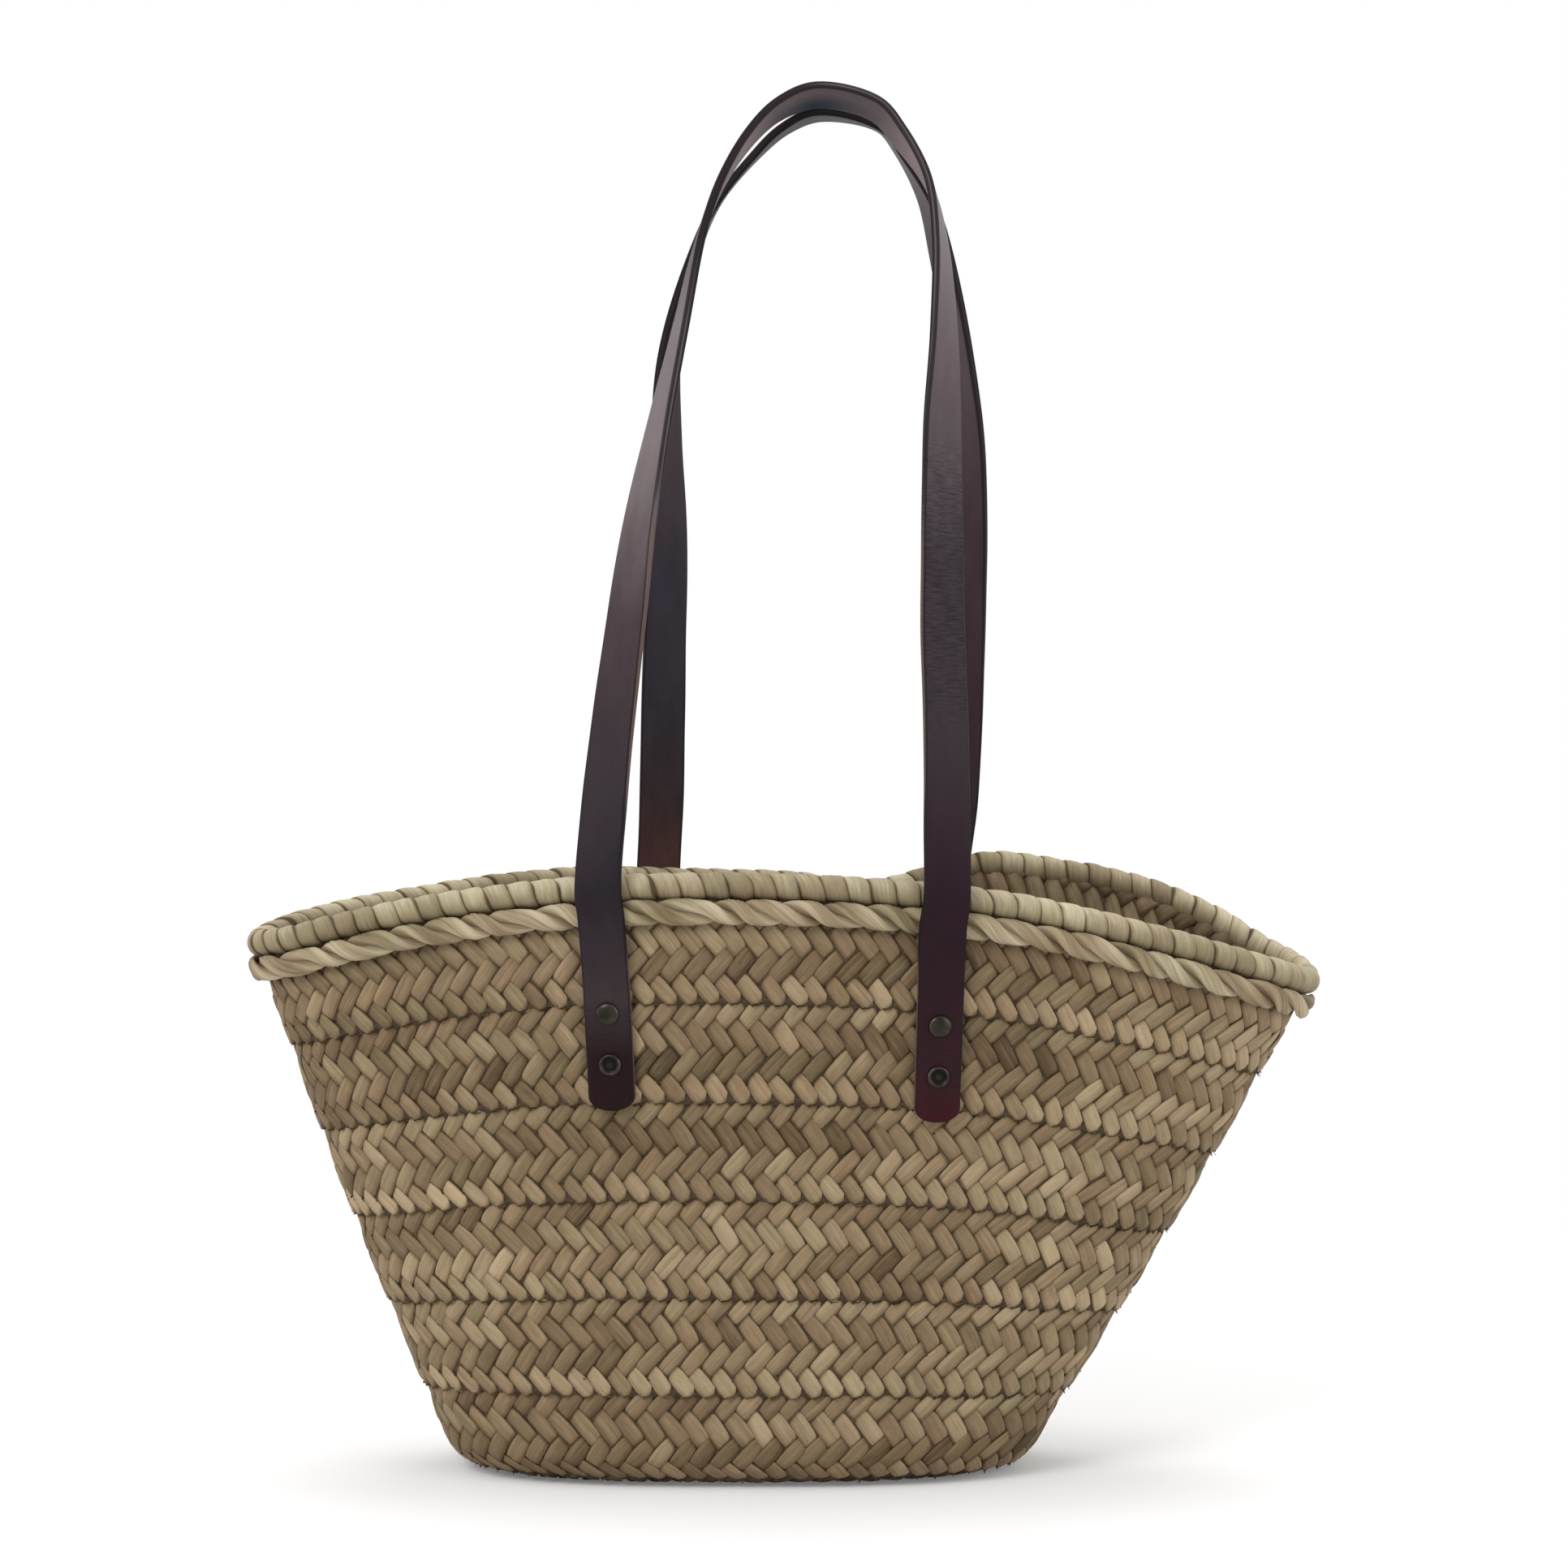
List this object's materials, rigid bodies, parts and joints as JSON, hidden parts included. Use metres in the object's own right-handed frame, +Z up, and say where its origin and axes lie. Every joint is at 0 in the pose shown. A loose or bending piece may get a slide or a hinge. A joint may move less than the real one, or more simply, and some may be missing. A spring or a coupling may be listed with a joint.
{
  "type": "woven market basket",
  "caption": "Plaited palm-leaf market basket with an open oval mouth, bound rim, rope trim and long riveted leather shoulder straps that swing outwards.",
  "frame": {"origin": "middle of the base, on the surface that the basket stands on", "axes": "+Z up, +X along the mouth to the viewer's right in the picture, +Y to the back"},
  "size_m": [0.47, 0.18, 0.6052],
  "materials": {
    "palm_leaf": "matte",
    "palm_leaf_pale": "matte",
    "strap_leather": "satin",
    "rivet_metal": "satin"
  },
  "bodies": {
    "basket": {"plaited_wall": "palm_leaf", "woven_base": "palm_leaf", "rim_binding": "palm_leaf_pale", "rim_rope": "palm_leaf_pale", "strap_end_front_left": "strap_leather", "strap_end_front_right": "strap_leather", "strap_end_back_left": "strap_leather", "strap_end_back_right": "strap_leather", "rivet_front_left_upper": "rivet_metal", "rivet_front_left_lower": "rivet_metal", "rivet_front_right_upper": "rivet_metal", "rivet_front_right_lower": "rivet_metal", "rivet_back_left_upper": "rivet_metal", "rivet_back_left_lower": "rivet_metal", "rivet_back_right_upper": "rivet_metal", "rivet_back_right_lower": "rivet_metal", "inner_cap_front_left_upper": "rivet_metal", "inner_cap_front_left_lower": "rivet_metal", "inner_cap_front_right_upper": "rivet_metal", "inner_cap_front_right_lower": "rivet_metal", "inner_cap_back_left_upper": "rivet_metal", "inner_cap_back_left_lower": "rivet_metal", "inner_cap_back_right_upper": "rivet_metal", "inner_cap_back_right_lower": "rivet_metal"},
    "front_strap": {"front_strap": "strap_leather"},
    "back_strap": {"back_strap": "strap_leather"}
  },
  "joints": [
    {"name": "front_strap_swing", "type": "hinge", "parent": "basket", "child": "front_strap", "pos_m": [0.0138, -0.08355, 0.21475], "axis": [0.9993, 0.0052, -0.0379], "range_deg": [0, 131]},
    {"name": "back_strap_swing", "type": "hinge", "parent": "basket", "child": "back_strap", "pos_m": [0.02608, 0.08407, 0.21123], "axis": [-0.9994, 0.0249, -0.0225], "range_deg": [0, 132]}
  ]
}
